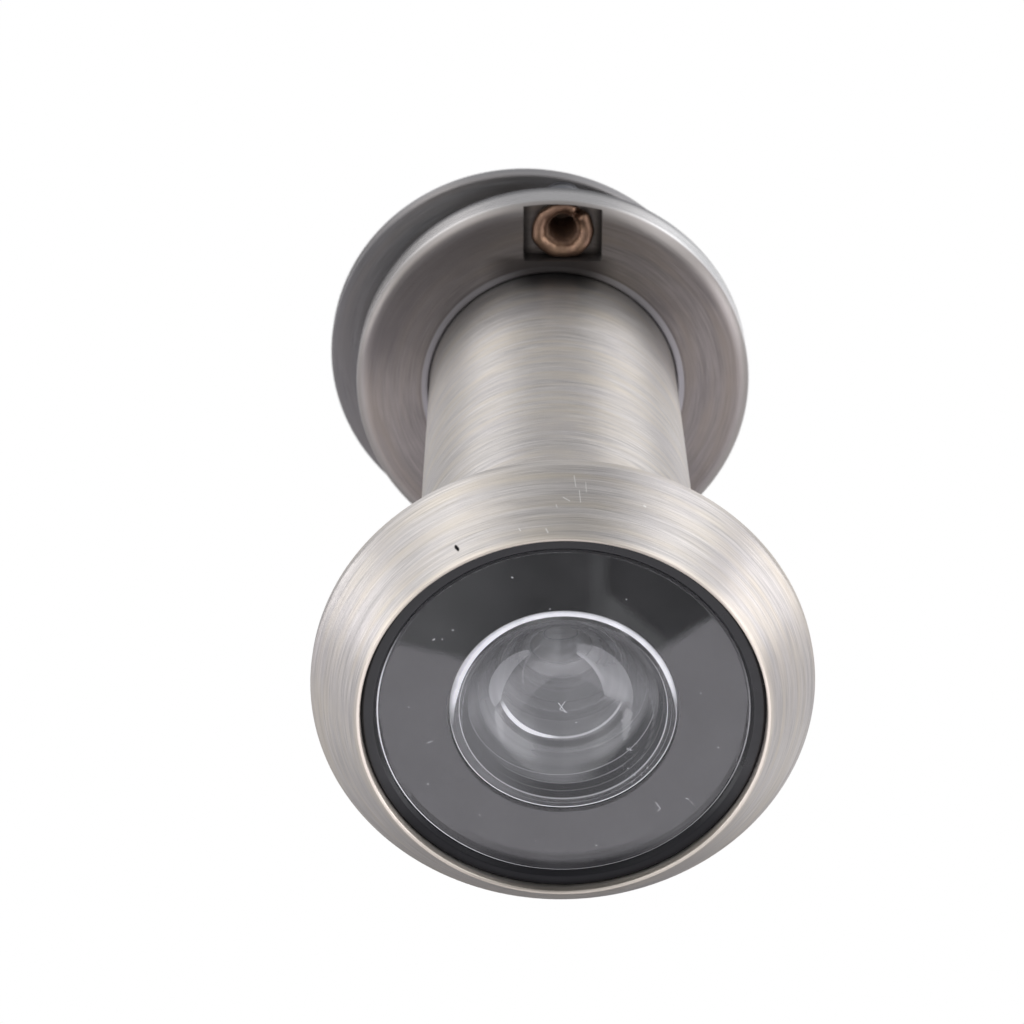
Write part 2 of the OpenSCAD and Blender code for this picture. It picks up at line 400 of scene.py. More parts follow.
def segment(at, start, end, width):
    """1 within width of the straight line between two (x, z) points."""
    run, rise = end[0] - start[0], end[1] - start[1]
    square = run * run + rise * rise or 1e-6
    from_x = at.x - start[0]
    from_z = at.z - start[1]
    along = at.nodes.math("ADD", from_x * (run / square), from_z * (rise / square), clamp=True)
    return hypot(from_x - along * run, from_z - along * rise).smooth(width, width * 0.4)


def segments(at, table):
    return reduce(Value.max, [segment(at, *row) for row in table])


def new_material(name):
    mat = bpy.data.materials.new(name)
    mat.use_nodes = True
    return mat, Nodes(mat.node_tree, "OutputMaterial")


def scaled(colour, factor):
    return tuple(min(1, c * factor) for c in colour)


def drive(mat, socket, centre, rule):
    """Links an input of the material's Principled node to rule(coordinates)."""
    nodes = Nodes(mat.node_tree)
    bsdf = mat.node_tree.nodes["Principled BSDF"]
    nodes.put(bsdf.inputs[socket], rule(Coords(nodes, centre)))


# ---------------------------------------------------------------- kinds of material
def brushed(name, base, warm, dark, rough=0.34, aniso=0.75, grain=1.0, centre=(0.0, 0.0),
            edge=None, tint=0.5, contrast=1.0):
    """Turned metal with fine streaks round the Y axis.

    warm and dark are patches of strength tint; contrast is that of the streaks, grain the
    strength of their relief. edge(nodes, at, colour, rough) adds wear, painted highlights
    and painted shade.
    """
    mat, nodes = new_material(name)
    at = Coords(nodes, centre)
    safe_radius = at.radius.max(0.001)
    side, up = at.x / safe_radius, at.z / safe_radius
    across = at.radius + at.y * 1.27

    def ring_noise(around, fineness, offset, detail=3.0, rough=0.6):
        """Noise that varies slowly round the piece and quickly across it."""
        vector = nodes.combine(side * around, up * around, across * fineness + offset)
        return nodes.noise(vector, 1.0, detail, rough)

    fine = ring_noise(3.0, 13.0, 0.0)
    medium = ring_noise(2.6, 3.6, 31.0)
    broad = ring_noise(1.2, 1.1, 57.0, detail=2.0, rough=0.5)
    hair = ring_noise(4.0, 22.0, 11.0, detail=2.0)
    cloud = nodes.noise(nodes.combine(at.x, at.y, at.z), scale=0.22, detail=3.0, rough=0.55)
    scratch = ring_noise(3.2, 24.0, 83.0, detail=1.0, rough=0.5)
    streak = fine * 0.42 + (medium * 0.32 + hair * 0.26)
    colour = nodes.mix(streak.ramp(0.36, 0.64), scaled(base, 1.0 - 0.24 * contrast),
                       scaled(base, 1.0 + 0.16 * contrast))
    colour = nodes.mix(broad.ramp(0.42, 0.68) * tint, colour, warm)
    colour = nodes.mix(cloud.ramp(0.48, 0.75) * (tint * 0.8), colour, dark)
    # a few deeper hairlines, light and dark
    colour = nodes.mix(scratch.ramp(0.66, 0.74) * (0.45 * contrast), colour, scaled(base, 1.35))
    colour = nodes.mix(scratch.ramp(0.34, 0.26) * (0.5 * contrast), colour, scaled(base, 0.55))
    roughness = (streak - 0.5) * 0.30 + rough
    if edge:
        colour, roughness = edge(nodes, at, colour, roughness)
    nodes.finish(nodes.add("BsdfPrincipled", {
        "Base Color": colour,
        "Metallic": 1.0,
        "Roughness": roughness,
        "Anisotropic": aniso,
        "Anisotropic Rotation": 0.25,
        "Tangent": nodes.add("Tangent", direction_type="RADIAL", axis="Y"),
        "Normal": nodes.bump(streak + medium * 0.6, strength=0.5 * grain, distance=0.00004),
    }))
    return mat


def glass(name, ior, paint=None):
    """Clear glass with a trace of haze; paint(nodes, at, shader) lays something over it."""
    tint = (0.985, 0.99, 1.0)
    mat, nodes = new_material(name)
    place_ = nodes.add("TexCoord", output="Object")
    haze = nodes.noise(place_, scale=260.0, detail=3.0, rough=0.6)
    shader = nodes.add("BsdfPrincipled", {
        "Base Color": nodes.mix(haze, scaled(tint, 0.99), tint),
        "Transmission Weight": 1.0,
        "IOR": ior,
        "Roughness": 0.0,
    })
    if paint:
        shader = paint(nodes, Coords(nodes), shader)
    nodes.finish(shader)
    return mat


def plastic(name, base, rough, grain, specular=0.5):
    """Moulded plastic or paint; grain is the strength of its relief."""
    scale = 900.0
    mat, nodes = new_material(name)
    place_ = nodes.add("TexCoord", output="Object")
    fine = nodes.noise(place_, scale, detail=4.0, rough=0.6)
    broad = nodes.noise(place_, scale * 0.12, detail=2.0, rough=0.5)
    nodes.finish(nodes.add("BsdfPrincipled", {
        "Base Color": nodes.mix(broad, scaled(base, 0.75), scaled(base, 1.3)),
        "Roughness": fine.ramp(0.3, 0.7, to=(rough * 0.85, rough * 1.2)),
        "Specular IOR Level": specular,
        "Normal": nodes.bump(fine, strength=grain, distance=0.00002),
    }))
    return mat


# ---------------------------------------------------------------- wear, painted highlights and painted shade on the metals
def rose_edge(nodes, at, colour, rough):
    """Painted highlights on the rolled edge, rim and bore lip; painted shade at the upper left,
    under the rivet, along the pocket and on the outer wall.
    """
    mix, y, radius, angle = nodes.mix, at.y, at.radius, at.angle
    # painted highlight on the rolled shoulder, which starts further out at the upper left
    upper_left = angle.band(-82.0, -10.0, soft=14.0)
    shoulder_highlight_radius = radius - upper_left * 0.22
    colour = mix(shoulder_highlight_radius.smooth(11.70, 12.25) * 0.6, colour, (0.42, 0.395, 0.375))
    # painted shade over the face and shoulder at the upper left
    upper_left_shade = upper_left * (radius.smooth(12.42, 12.10)
                           * radius.smooth(9.2, 11.4, to=(0.35, 0.75)))
    colour = mix(upper_left_shade, colour, (0.11, 0.10, 0.10))
    # outermost rim: painted highlight, brightest on the right, lighter again at the very top
    rim = radius.smooth(12.50, 12.585)
    rim_left = mix(abs(angle).smooth(30.0, 8.0), (0.56, 0.54, 0.53), (0.43, 0.425, 0.425))
    rim_highlight_colour = mix(angle.smooth(15.0, 45.0), rim_left, (0.93, 0.925, 0.92))
    colour = mix(rim * 0.85, colour, rim_highlight_colour)
    # painted shadow on the face under the pocket and rivet
    pocket_shadow = at.x.band(-3.6, 3.2, soft=1.1) * (at.z.smooth(9.25, 8.75) * at.z.above(0.0))
    colour = mix(pocket_shadow * 0.80, colour, (0.07, 0.062, 0.06))
    # painted shade along the pocket's side walls
    pocket_wall_shade = abs(at.x - RIVET_AT[0]).smooth(1.80, 2.40) * (
        y.smooth(ROSE_FRONT + 0.2, ROSE_FRONT + 0.9) * at.z.above(8.6))
    pocket_wall_shade = pocket_wall_shade * abs(at.x - RIVET_AT[0]).below(2.5)
    pocket_wall_shade = pocket_wall_shade * (y.smooth(ROSE_FRONT + 1.5, ROSE_FRONT + 1.42)
                     * radius.smooth(12.42, 12.36))
    colour = mix(pocket_wall_shade * 0.75, colour, (0.05, 0.047, 0.045))
    # painted highlight on the lip round the bore, fading out in the rivet's painted shadow, with
    # a dark ring of painted shade round it
    lip = radius.smooth(8.44, 8.36) * abs(angle - 1.0).smooth(9.0, 32.0, to=(0.08, 0.80))
    colour = mix(radius.band(8.44, 8.54, soft=0.04) * 0.35, colour, (0.09, 0.08, 0.08))
    lip_highlight_colour = mix(angle.smooth(-30.0, 30.0), (0.33, 0.32, 0.335), (0.44, 0.43, 0.45))
    colour = mix(lip, colour, lip_highlight_colour)
    # painted shade on the outer wall, darker towards the back and on the left
    wall = radius.above(12.2) * y.smooth(ROSE_BACK - 1.1, ROSE_BACK - 0.15)
    colour = mix(wall * angle.smooth(60.0, 20.0, to=(0.2, 0.85)), colour, (0.06, 0.06, 0.065))
    return colour, rough - (rim * 0.16 + lip * 0.06)


# light nicks on the barrel's bevel: start (x, z), end (x, z), width
NICKS = [
    ((0.45, 12.58), (0.53, 12.22), 0.035), ((0.70, 12.08), (0.75, 11.70), 0.035),
    ((-0.10, 11.86), (0.22, 11.74), 0.03), ((-0.95, 10.78), (-0.86, 10.67), 0.045),
    ((-2.27, 10.71), (-2.20, 10.66), 0.04), ((3.88, 11.33), (3.97, 11.28), 0.04),
    ((1.02, 12.35), (1.04, 12.02), 0.025), ((-0.45, 11.60), (-0.40, 11.52), 0.03),
]


def barrel_edge(nodes, at, colour, rough):
    """Front lip worn to a creamy line, a pit and light nicks on the bevel, painted shade on the
    tube.
    """
    y = at.y
    worn = at.radius.smooth(10.66, 10.46) * y.smooth(-3.15, -3.45)
    colour = nodes.mix(worn * 0.8, colour, (0.76, 0.69, 0.60))
    # painted shade: the tube darkens towards the rose, most of all along its top
    rose_end_shade = y.ramp(ROSE_FRONT - 7.9, ROSE_FRONT, to=(0.0, 0.74)) * y.above(10.0)
    top_shade = (at.x.band(-2.6, 2.8, soft=1.6) * at.z.above(0.0)
                 * y.smooth(ROSE_FRONT - 4.2, ROSE_FRONT - 0.6, to=(0.0, 0.62)))
    rose_end_shade = rose_end_shade.max(rose_end_shade * 0.55 + top_shade)
    colour = nodes.mix(rose_end_shade, colour, (0.05, 0.047, 0.047))
    bevel = y.below(-0.5)
    pit = segment(at, (-5.36, 9.64), (-5.27, 9.59), width=0.11) * bevel
    nicks = segments(at, NICKS) * bevel * 0.7
    colour = nodes.mix(nicks, colour, (0.92, 0.90, 0.87))
    colour = nodes.mix(pit, colour, (0.01, 0.01, 0.01))
    return colour, rough + nicks * 0.2


def cover_edge(nodes, at, colour, rough):
    """Painted shade: darker on the cover's left side."""
    left_shade = at.x.smooth(-5.0, -12.0, to=(0.0, 0.50))
    return nodes.mix(left_shade, colour, (0.105, 0.10, 0.10)), rough


# ---------------------------------------------------------------- paint on the glass, with painted highlights, reflections and shade
def blackened(nodes, at, shader):
    """Ground and blackened edge of a lens."""
    black = nodes.add("BsdfDiffuse", {"Color": (0.012, 0.012, 0.014)})
    return nodes.mix_shader(at.radius.smooth(5.80 - 0.01, 5.80 + 0.01), shader, black)


def dust_and_painted_glints(nodes, shader, white, glow):
    """Ground or dusty glass where white is 1, on outward faces, also carrying painted highlights
    and reflections; glow is its own painted light.
    """
    diffuse = nodes.add("BsdfDiffuse", {"Color": (0.90, 0.90, 0.95)})
    # painted glow: the white marks give their own light
    emission = nodes.add("Emission", {"Color": (0.95, 0.95, 1.0), "Strength": glow})
    ground = nodes.add("AddShader", {0: diffuse, 1: emission})
    backfacing = nodes.add("NewGeometry", output="Backfacing")
    return nodes.mix_shader(white * (1.0 - backfacing), shader, ground)


def shade_paint_on_glass(nodes, shader, black):
    """Black diffuse on glass where black is 1, used as painted shade."""
    shade_black = nodes.add("BsdfDiffuse", {"Color": (0.010, 0.010, 0.012)})
    return nodes.mix_shader(black, shader, shade_black)


def circle_through(a, b, c):
    """Centre x, centre z and radius of the circle through three points."""
    (ax, az), (bx, bz), (cx, cz) = a, b, c
    double = 2 * (ax * (bz - cz) + bx * (cz - az) + cx * (az - bz))
    a_sq, b_sq, c_sq = ax * ax + az * az, bx * bx + bz * bz, cx * cx + cz * cz
    x = (a_sq * (bz - cz) + b_sq * (cz - az) + c_sq * (az - bz)) / double
    z = (a_sq * (cx - bx) + b_sq * (ax - cx) + c_sq * (bx - ax)) / double
    return x, z, math.hypot(ax - x, az - z)


# soft crescents in the bowl: each lies inside its first circle and outside its second
LEFT_OUTER = circle_through((-1.84, 1.71), (-3.38, 1.02), (-3.80, -0.33))
LEFT_INNER = circle_through((-1.68, 1.33), (-2.77, 0.18), (-3.18, -0.94))
RIGHT_OUTER = circle_through((1.52, 2.01), (3.01, 1.12), (3.59, -0.02))
RIGHT_INNER = circle_through((0.71, 1.24), (1.65, 0.32), (2.24, -1.48))


def objective_paint(nodes, at, shader):
    """Ground bevel round the bowl's mouth, fine turned rings, a turned step and faint haze on the
    bowl, shown as glowing painted highlights and reflections; painted shade on its rim.
    """
    front = span("objective_lens")[0]
    shader = blackened(nodes, at, shader)
    x, y, z, radius, angle = at.x, at.y, at.z, at.radius, at.angle
    from_top = abs(angle)
    left = angle.below(0.0)
    mouth = y.smooth(front + 0.31, front + 0.21)

    def disc(cx, cz, disc_radius, soft=0.025):
        distance = hypot(x - cx, z - cz)
        return distance.smooth(disc_radius + soft, disc_radius - soft)

    # ground bevel shown as a glowing painted highlight: widest at the upper left, thinning out at
    # 8 and 4 o'clock
    reach = 1.0 - (from_top - left * 8.0).smooth(66.0, 100.0)
    width = (reach * 0.7 + 0.3) * (0.27 + left * from_top.smooth(10.0, 70.0) * 0.12)
    inward = radius - (5.80 - width)
    bevel = inward.smooth(-0.04, 0.04) * (radius.smooth(5.835, 5.785) * mouth)
    fade = inward.smooth(0.34, 0.08, to=(0.58, 0.95))
    uneven = nodes.noise(nodes.combine(x, z, y), scale=1.1, detail=3.0, rough=0.6)
    bevel = bevel * reach * fade * uneven.ramp(0.25, 0.6, to=(0.78, 1.0))

    # painted highlights: thin bright rings from the rim inwards, mostly on the lower half
    rim_outer = radius.band(5.735, 5.80, soft=0.025) * (
        mouth * from_top.smooth(88.0, 150.0, to=(0.5, 1.0)) * (1.0 - reach))
    rim_inner = radius.band(5.285, 5.318, soft=0.02) * (
        y.smooth(front + 0.36, front + 0.26) * from_top.smooth(150.0, 60.0, to=(0.50, 0.85)))
    wall_ring = (radius.band(4.90, 4.935, soft=0.018)
                 * from_top.smooth(110.0, 150.0, to=(0.0, 0.26)))
    shifted_ring = (hypot(x + 0.08, z - 0.2).band(4.855, 4.88, soft=0.018)
                    * from_top.smooth(80.0, 110.0, to=(0.0, 0.42)))

    # painted highlight on the turned step low in the bowl, strongest at the lower left
    lower_left = angle.smooth(-100.0, -128.0) * angle.smooth(-180.0, -166.0, to=(0.0, 0.48))
    sweep = from_top.smooth(98.0, 118.0) * (0.50 + left * lower_left)
    widening = left * 0.08 * angle.smooth(-175.0, -140.0)
    step = radius.smooth(3.18, 3.27) * (radius - widening).smooth(3.37, 3.31) * sweep
    step_echo = radius.band(3.43, 3.445, soft=0.02) * (sweep * 0.30)
    fine_outer = radius.band(5.50, 5.52, soft=0.018) * (
        from_top.smooth(72.0, 96.0, to=(0.0, 0.30)) * mouth)
    fine_inner = (radius.band(5.11, 5.13, soft=0.018)
                  * from_top.smooth(72.0, 96.0, to=(0.0, 0.26)))
    white = reduce(Value.max, (bevel, rim_outer, rim_inner, wall_ring, shifted_ring, step,
                               step_echo, fine_outer, fine_inner))

    # painted reflections: two soft crescents, the right one with a blurred inner edge, and a
    # faint arc on the left
    inside = y.smooth(front + 0.90, front + 1.0)
    crescent_l = disc(*LEFT_OUTER) * (1.0 - disc(*LEFT_INNER))
    crescent_l = crescent_l * (x.smooth(-1.62, -1.80) * (z - x * 0.985).smooth(2.10, 2.24))
    crescent_r = disc(*RIGHT_OUTER) * (1.0 - disc(*RIGHT_INNER))
    crescent_r = crescent_r * (
        z.smooth(2.10, 1.90) * (z.smooth(-1.5, -0.7) * x.smooth(0.65, 0.85)))
    edge_x, edge_z, edge_radius = RIGHT_INNER
    blur = disc(edge_x, edge_z, edge_radius + 0.22, soft=0.12)
    edge_r = (blur - disc(edge_x, edge_z, edge_radius + 0.02)) * (
        x.smooth(0.6, 0.8) * z.smooth(-0.6, 0.2))
    arc_l = (disc(0.35, 0.0, 2.44, soft=0.03) - disc(0.35, 0.0, 2.37, soft=0.03)) * (
        x.smooth(-0.9, -1.2) * z.smooth(-0.6, -0.2))
    haze = crescent_l * 0.14 + (crescent_r * 0.13 + (edge_r * 0.09 + arc_l * 0.10))

    # painted glow over the bowl, with a clear band round the step and clearer lower walls
    turned = nodes.noise(nodes.combine(0.0, 0.0, radius * 3.2), scale=1.0, detail=2.0, rough=0.5)
    clear_band = radius.band(3.42, 3.70, soft=0.06) * (from_top.smooth(90.0, 125.0) * 0.36)
    bloom = radius.smooth(5.02, 4.84) * (1.0 - clear_band)
    clear_wall = radius.smooth(4.15, 4.55) * (
        angle.band(98.0, 165.0, soft=14.0) * 0.62 + angle.band(-165.0, -105.0, soft=14.0) * 0.38)
    bloom = bloom * (1.0 - clear_wall)
    bloom = bloom * (turned.ramp(0.3, 0.7, to=(0.88, 1.10))
                     * z.smooth(3.0, -0.8, to=(0.33, 1.0)))
    strength = radius.smooth(2.6, 3.3, to=(0.185, 0.215)) + (
        angle.band(-158.0, -98.0, soft=22.0) * radius.smooth(2.4, 3.9) * 0.11)
    haze = (haze + bloom * strength) * inside

    # a little dirt caught at the lower right of the rim
    dirt = nodes.noise(nodes.combine(x, z, y), scale=3.4, detail=4.0, rough=0.7)
    spot = dirt.ramp(0.56, 0.66, to=(0.0, 0.5)) * disc(3.75, -3.55, 0.75, soft=0.35)
    white = white.max(haze.max(spot))

    # painted haze of light: a thin film over all, fainter towards the top and stronger at the
    # left
    film = 0.080 + angle.band(-154.0, -62.0, soft=24.0) * 0.080
    film = film * (radius.smooth(5.82, 5.76) * z.smooth(3.4, 0.6, to=(0.35, 1.0)))
    white = white.max(film)
    # painted shade: dark band on the flat rim, on the lower half
    rim_shade = radius.band(5.36, 5.71, soft=0.03) * (
        mouth * from_top.smooth(70.0, 105.0, to=(0.0, 0.72)))
    return dust_and_painted_glints(nodes, shade_paint_on_glass(nodes, shader, rim_shade), white, glow=0.46)


# dust and fibres on the window: start (x, z), end (x, z), width
DUST = [
    ((-0.26, 0.72), (0.12, 0.18), 0.035), ((0.06, 0.80), (-0.19, 0.36), 0.03),
    ((-0.19, 0.36), (0.18, 0.16), 0.03), ((4.82, -5.25), (5.05, -5.62), 0.03),
    ((5.05, -5.62), (4.90, -5.78), 0.03), ((6.36, -5.00), (6.50, -5.04), 0.04),
    ((6.62, -5.18), (6.72, -5.36), 0.02), ((-6.93, -4.12), (-6.92, -4.12), 0.06),
    ((-6.95, -1.66), (-6.66, -1.52), 0.025), ((-7.88, 0.49), (-7.80, 0.49), 0.03),
    ((-6.56, 4.39), (-6.48, 4.44), 0.05), ((-6.11, 4.42), (-6.08, 4.44), 0.04),
    ((-5.60, 4.96), (-5.52, 4.96), 0.04), ((-2.62, 7.95), (-2.58, 7.93), 0.05),
    ((3.05, 6.70), (3.08, 6.70), 0.035), ((0.62, -0.42), (0.66, -0.42), 0.035),
    ((2.95, -0.28), (3.02, -0.30), 0.04), ((-1.4, -7.6), (-1.38, -7.6), 0.04),
    ((1.75, -7.9), (1.8, -7.9), 0.045), ((-0.75, 6.15), (-0.70, 6.17), 0.03),
    ((6.9, 1.3), (6.95, 1.3), 0.03), ((-4.3, -6.0), (-4.26, -6.05), 0.03),
    ((7.9, -1.9), (7.95, -1.95), 0.035),
]
WINDOW_IOR = 1.52
LENS_IOR = 1.53


def window_paint(nodes, at, shader):
    """Painted highlight on the ground chamfer, strongest at the left and the bottom; dust on the
    front; painted shade on the lower margin.
    """
    front = span("front_window")[0]
    radius = at.radius
    from_top = abs(at.angle)
    left = at.angle.below(0.0)
    chamfer = at.y.below(front + 0.19)
    # painted highlight along the chamfer, glowing, strongest at the left and the bottom
    lower_left = left * from_top.band(92.0, 158.0, soft=14.0)
    line = (radius + lower_left * 0.03).band(9.42, 9.49, soft=0.03)
    left_side = (from_top.smooth(56.0, 86.0, to=(0.0, 1.0))
                 * from_top.smooth(178.0, 142.0, to=(0.50, 1.0)))
    right_side = (from_top.smooth(62.0, 100.0, to=(0.0, 0.42))
                  * from_top.smooth(150.0, 178.0, to=(1.0, 1.2)))
    white = line * (left * left_side + (1.0 - left) * right_side) * chamfer
    face = at.y.below(front + 0.01)
    dust = segments(at, DUST) * face * 0.30
    stretch = 1.0  # of the veil's pattern, across and up
    veil = nodes.noise(nodes.combine(at.x * stretch, at.z * stretch, 0.0),
                       scale=0.35, detail=3.0, rough=0.6)
    film = face * veil.ramp(0.35, 0.75, to=(0.0, 0.012))
    # over the bowl the glass only refracts
    clear = nodes.add("BsdfRefraction", {"Color": (1, 1, 1), "Roughness": 0.0,
                                         "IOR": WINDOW_IOR})
    shader = nodes.mix_shader(radius.smooth(5.86, 5.78), shader, clear)
    # painted shade: dark lower margin of the face
    margin = radius.smooth(8.72, 9.10) * from_top.smooth(138.0, 165.0, to=(0.0, 0.62)) * face
    white = nodes.math("ADD", white.max(dust), film, clamp=True)
    return dust_and_painted_glints(nodes, shade_paint_on_glass(nodes, shader, margin), white, glow=0.55)


# ---------------------------------------------------------------- materials
NICKEL = brushed(
    "satin_nickel_front", base=(0.585, 0.555, 0.53), warm=(0.64, 0.575, 0.48),
    dark=(0.49, 0.465, 0.475), rough=0.38, aniso=0.8, grain=1.1, edge=barrel_edge, tint=0.6,
    contrast=1.5)
NICKEL_SLEEVE = brushed(
    "satin_nickel_sleeve", base=(0.60, 0.58, 0.55), warm=(0.62, 0.58, 0.50),
    dark=(0.5, 0.48, 0.47))
NICKEL_ROSE = brushed(
    "antique_nickel_rose", base=(0.275, 0.25, 0.24), warm=(0.285, 0.245, 0.21),
    dark=(0.20, 0.18, 0.18), rough=0.42, aniso=0.8, edge=rose_edge, tint=0.65, contrast=1.3)
NICKEL_COVER = brushed(
    "antique_nickel_cover", base=(0.305, 0.298, 0.302), warm=(0.31, 0.28, 0.26),
    dark=(0.225, 0.22, 0.228), rough=0.46, aniso=0.6, centre=COVER_AT, edge=cover_edge,
    contrast=1.2)
COPPER = brushed(
    "tarnished_copper", base=(0.26, 0.162, 0.115), warm=(0.36, 0.235, 0.155),
    dark=(0.10, 0.06, 0.045), rough=0.42, aniso=0.2, centre=RIVET_AT, tint=0.9, contrast=1.4)
# the rivet's hollow hardly reflects
drive(COPPER, "Metallic", RIVET_AT, lambda at: 1.0 - (
    at.radius.smooth(1.10, 0.98) * at.y.smooth(ROSE_FRONT + 0.45, ROSE_FRONT + 0.85)) * 0.85)
STEEL = brushed(
    "blued_spring_steel", base=(0.16, 0.165, 0.185), warm=(0.18, 0.17, 0.16),
    dark=(0.10, 0.105, 0.13), rough=0.38)
BLACK = plastic("black_moulding", (0.012, 0.012, 0.014), rough=0.32, grain=0.2)
RING = plastic("black_ring_moulding", (0.012, 0.012, 0.014), rough=0.32, grain=0.2)
# painted shade: the ring shines less on its lower half
drive(RING, "Specular IOR Level", (0.0, 0.0), lambda at: at.z.smooth(-2.5, -7.0, to=(0.5, 0.14)))
MASK = plastic("black_mask_paint", (0.0015, 0.0015, 0.0018), rough=0.60, grain=0.0,
               specular=0.02)
# a trace of light keeps the mask off pure black
mask_inputs = MASK.node_tree.nodes["Principled BSDF"].inputs
mask_inputs["Emission Color"].default_value = (0.0048, 0.0046, 0.0056, 1)
mask_inputs["Emission Strength"].default_value = 1.0
GLASS = glass("lens_glass_clear", LENS_IOR)
WINDOW_GLASS = glass("window_glass", WINDOW_IOR, window_paint)
OBJECTIVE_GLASS = glass("objective_glass", LENS_IOR, objective_paint)
BLACK_EDGE_GLASS = glass("lens_glass_blackened_edge", LENS_IOR, blackened)


# ---------------------------------------------------------------- outer half
# Profiles are lists of (radius, y, corner radius), the corner radius being optional.
def make_barrel():
    front, back = span("outer_barrel")
    profile = rounded([
        (10.30, CELL_FRONT, 0), (10.30, front + 0.02, 0.10), (10.46, front, 0.06),
        (12.98, -0.55, 0.12), (13.0, -0.46, 0.08), (13.0, 0.0, 0.06),
        (7.9, 0.0, 0), (7.9, ROSE_FRONT + 0.1, 0.05), (7.6, ROSE_FRONT + 0.3, 0.05),
        (7.6, back - 0.15, 0.03), (7.45, back, 0.03), (7.25, back, 0.03),
        (7.0, back - 0.25, 0), (7.0, 11.2, 0), (7.1, 11.1, 0), (7.1, CELL_FRONT, 0)])
    place(lathe("barrel_turned", profile, NICKEL), "barrel", "outer_barrel")


def make_window_ring():
    front, back = span("window_ring")
    profile = rounded([
        (9.58, back, 0), (9.58, front + 0.5, 0), (9.51, front + 0.36, 0.02),
        (9.51, front + 0.2, 0.05), (9.67, front, 0.08), (10.14, front, 0.08),
        (CELL_R, front + 0.14, 0.05), (CELL_R, back, 0)])
    place(lathe("window_ring_moulded", profile, RING), "barrel", "window_ring")


def make_lens_cell():
    front, back = span("lens_cell")
    seat = span("third_lens")[1] + 0.01  # shoulder just behind the third lens
    profile = rounded([
        (CELL_BORE, front, 0.03), (CELL_R, front, 0), (CELL_R, CELL_FRONT, 0),
        (7.05, CELL_FRONT, 0.1), (7.05, back - 0.3, 0.05), (6.75, back, 0.05),
        (4.8, back, 0.1), (4.8, seat, 0), (CELL_BORE, seat, 0)])
    place(lathe("lens_cell_moulded", profile, BLACK), "barrel", "lens_cell")


def make_window():
    front, back = span("front_window")
    profile = rounded([(0, front), (9.35, front, 0.04), (9.55, front + 0.2, 0.04),
                       (9.55, back - 0.12, 0.03), (9.43, back, 0.03), (0, back)], 4)
    window = lathe("window_glass_disc", profile, WINDOW_GLASS)
    return place(window, "barrel", "front_window")


def make_mask():
    """Ring just behind the window, clear of the parts on both sides."""
    front, back = span("window_mask")
    front, back = front + 0.015, back - 0.01
    profile = [(CELL_BORE, front), (9.45, front), (9.45, back), (CELL_BORE, back)]
    place(lathe("window_mask_ring", profile, MASK), "barrel", "window_mask")


def make_objective():
    """A bowl in a short glass rod, with a polished rim."""
    front, back = span("objective_lens")
    curve = 5.6
    centre = front - math.sqrt(curve ** 2 - OBJECTIVE_RIM ** 2)
    rim_angle = math.degrees(math.atan2(front - centre, OBJECTIVE_RIM))
    bowl = arc(0, centre, curve, 90, rim_angle, 40)
    profile = rounded([(0.0, bowl[0][1])] + bowl[1:-1] + [
        (OBJECTIVE_RIM, front, 0), (5.76, front, 0.05), (5.84, front + 0.08, 0.05),
        (5.84, back - 0.35, 0.05), (5.49, back, 0.05), (0.0, back)], 4)
    place(lathe("objective_bowl", profile, OBJECTIVE_GLASS), "barrel",
          "objective_lens")


def make_spacer(node, bore):
    front, back = span(node)
    profile = rounded([(bore, front, 0.12), (5.86, front, 0.04), (5.86, back, 0.04),
                       (bore, back, 0.12)])
    place(lathe(node + "_turned", profile, BLACK), "barrel", node)


def sag(curve, radius):
    """Depth of a sphere of radius curve, at a distance from its pole."""
    return curve - math.sqrt(curve ** 2 - radius * radius)


def front_dome(front, curve, rim):
    return [(rim * k / 24, front + sag(curve, rim * k / 24)) for k in range(25)]


def make_second_lens():
    """Domed front, hollow back."""
    front, back = span("second_lens")
    dome_rim = 4.9
    shoulder = front + 0.6 + 0.01
    curve, centre = 7.5, back + 6.4  # of the hollow
    rim = math.sqrt(curve ** 2 - 6.4 ** 2)
    steps = [rim * (1 - k / 24) for k in range(24)]
    hollow = [(step, centre - math.sqrt(curve ** 2 - step * step)) for step in steps]
    profile = front_dome(front, 16, dome_rim) + [
        (dome_rim, shoulder), (LENS_R, shoulder), (LENS_R, back)] + hollow + [
        (0.0, centre - curve)]
    place(lathe("second_lens_ground", profile, BLACK_EDGE_GLASS), "barrel",
          "second_lens")


def make_third_lens():
    """Domed front, flat back."""
    front, back = span("third_lens")
    dome = front_dome(front, 14, 5.42)
    profile = rounded(dome + [(LENS_R, dome[-1][1], 0.02), (LENS_R, back, 0.05),
                              (0.0, back)], 3)
    place(lathe("third_lens_ground", profile, BLACK_EDGE_GLASS), "barrel",
          "third_lens")


make_barrel()
make_window_ring()
make_lens_cell()
window = make_window()
make_mask()
make_objective()
make_spacer("front_spacer", bore=5.0)
make_spacer("rear_spacer", bore=4.9)
make_second_lens()
make_third_lens()


